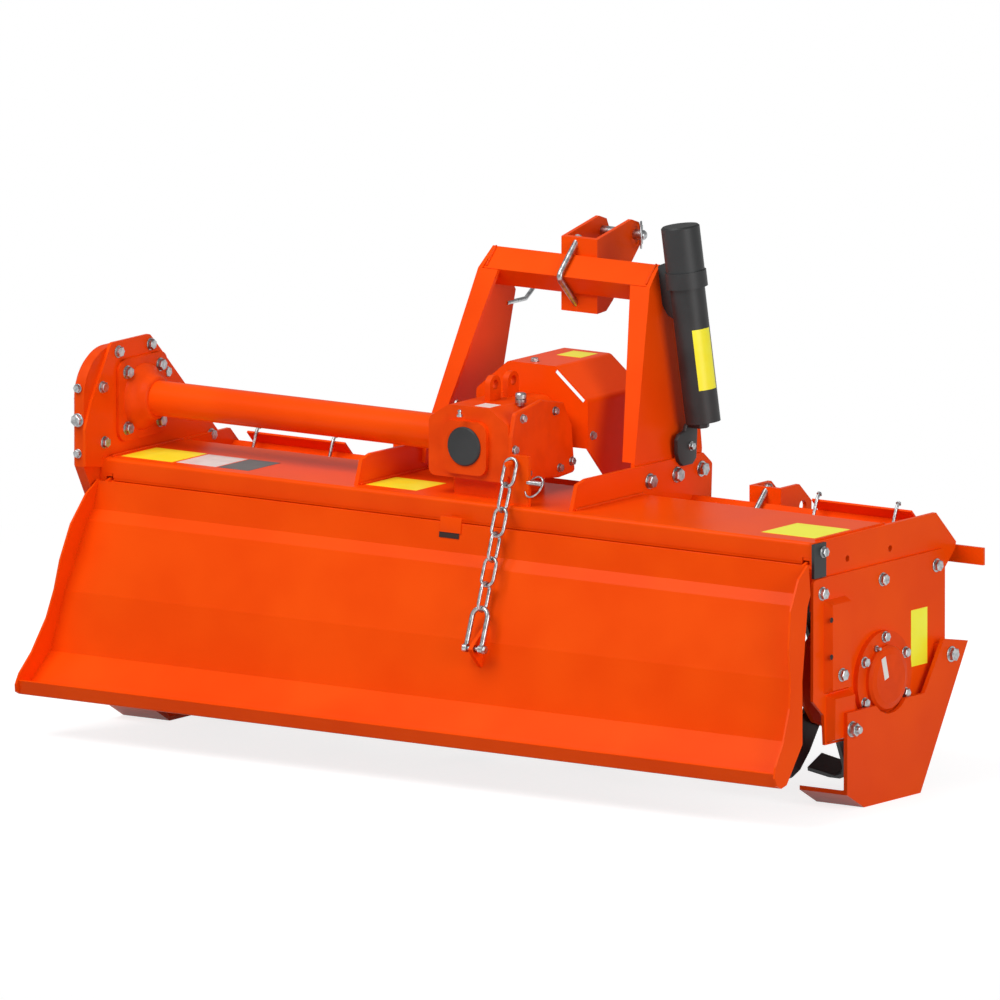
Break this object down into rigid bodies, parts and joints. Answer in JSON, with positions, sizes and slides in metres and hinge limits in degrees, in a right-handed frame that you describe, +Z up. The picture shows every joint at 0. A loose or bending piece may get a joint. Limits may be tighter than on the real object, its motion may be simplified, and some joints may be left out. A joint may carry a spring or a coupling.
{
  "type": "rotary tiller",
  "caption": "Rotary tiller for a three-point hitch: bladed rotor under a steel hood, side gear drive, hinged tailgate on a chain, hitch mast and document tube.",
  "frame": {"origin": "on the ground below the middle of the machine's bounding box, where the skids stand", "axes": "X across the machine to the right seen from behind it, +Y forward to the tractor, +Z up"},
  "size_m": [1.696, 0.734, 0.9809],
  "materials": {
    "orange_paint": "glossy orange-red paint on sheet steel and castings",
    "zinc_steel": "zinc-plated steel",
    "black_plastic": "black moulded plastic",
    "bright_steel": "machined steel",
    "blade_steel": "black-dipped forged steel"
  },
  "bodies": {
    "frame": {"bearing_cap": "orange_paint", "bearing_plate": "orange_paint", "carrier_plate": "orange_paint", "chain": "zinc_steel", "chain_bracket": "orange_paint", "crossbar": "orange_paint", "document_tube": "black_plastic", "document_tube_cap": "black_plastic", "document_tube_foot": "orange_paint", "document_tube_strap": "orange_paint", "drive_tube": "orange_paint", "drive_tube_flange": "orange_paint", "front_tube": "orange_paint", "gearbox_cover": "orange_paint", "gearbox_housing": "orange_paint", "gearbox_rear_cap": "black_plastic", "hinge_rod": "zinc_steel", "hood": "orange_paint", "left_bearing": "orange_paint", "left_brace": "orange_paint", "left_guard": "orange_paint", "left_lower_link_bracket": "orange_paint", "left_post": "orange_paint", "left_side_plate": "orange_paint", "left_skid": "orange_paint", "pto_hood": "orange_paint", "right_bearing": "orange_paint", "right_brace": "orange_paint", "right_guard": "orange_paint", "right_hinge_pad": "black_plastic", "right_lower_link_bracket": "orange_paint", "right_post": "orange_paint", "right_side_plate": "orange_paint", "right_skid": "orange_paint", "shaft_rest_hook": "zinc_steel", "side_drive_case": "orange_paint", "top_link_bracket": "orange_paint", "top_link_pin": "zinc_steel"},
    "rotor": {"rotor_tube": "orange_paint", "rotor_blades": "blade_steel"},
    "input": {"input_shaft": "bright_steel"},
    "gate": {"tailgate": "orange_paint", "left_wing": "orange_paint", "right_wing": "orange_paint"}
  },
  "joints": [
    {"name": "rotor_spin", "type": "hinge", "parent": "frame", "child": "rotor", "pos_m": [0, 0.038, 0.225], "axis": [-1, 0, 0], "continuous": true},
    {"name": "input_spin", "type": "hinge", "parent": "frame", "child": "input", "pos_m": [0, 0.133, 0.595], "axis": [0, 1, 0], "continuous": true},
    {"name": "tailgate_hinge", "type": "hinge", "parent": "frame", "child": "gate", "pos_m": [0, -0.161, 0.452], "axis": [-1, 0, 0], "range_deg": [0, 35], "deforming": ["chain"]}
  ],
  "couplings": [
    {"joint": "input_spin", "follows": "rotor_spin", "ratio": 2.6}
  ]
}
